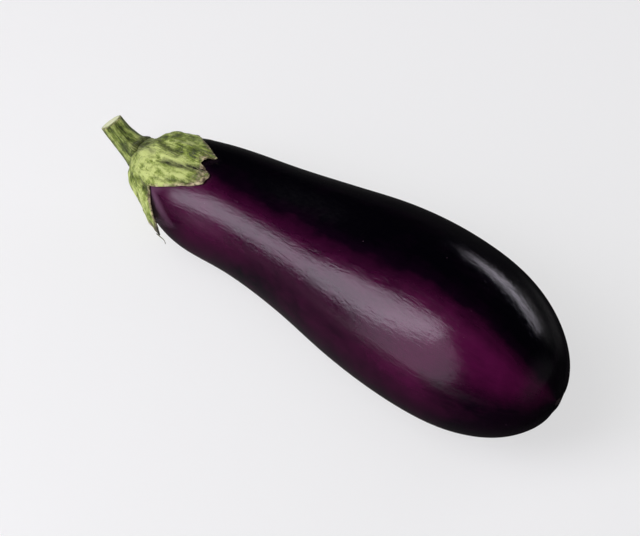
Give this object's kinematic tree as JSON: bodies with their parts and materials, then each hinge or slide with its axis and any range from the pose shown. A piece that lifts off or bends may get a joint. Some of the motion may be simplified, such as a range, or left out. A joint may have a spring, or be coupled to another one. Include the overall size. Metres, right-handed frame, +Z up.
{
  "type": "eggplant",
  "caption": "Ripe purple eggplant as picked, a glossy drop-shaped fruit with a green lobed calyx and a short cut stem, lying on its side.",
  "frame": {"origin": "on the surface that the eggplant lies on, below the middle of its box", "axes": "+X along the fruit from the stem end to the blossom end, +Y to the back, +Z up"},
  "size_m": [0.2638, 0.0832, 0.0821],
  "materials": {
    "fruit_skin": "waxy gloss, purple-black",
    "calyx_flesh": "matte, finely hairy leaf green",
    "stem_flesh": "matte ribbed green, pale where cut"
  },
  "bodies": {
    "root": {"fruit": "fruit_skin", "calyx": "calyx_flesh", "stem": "stem_flesh"}
  },
  "joints": []
}
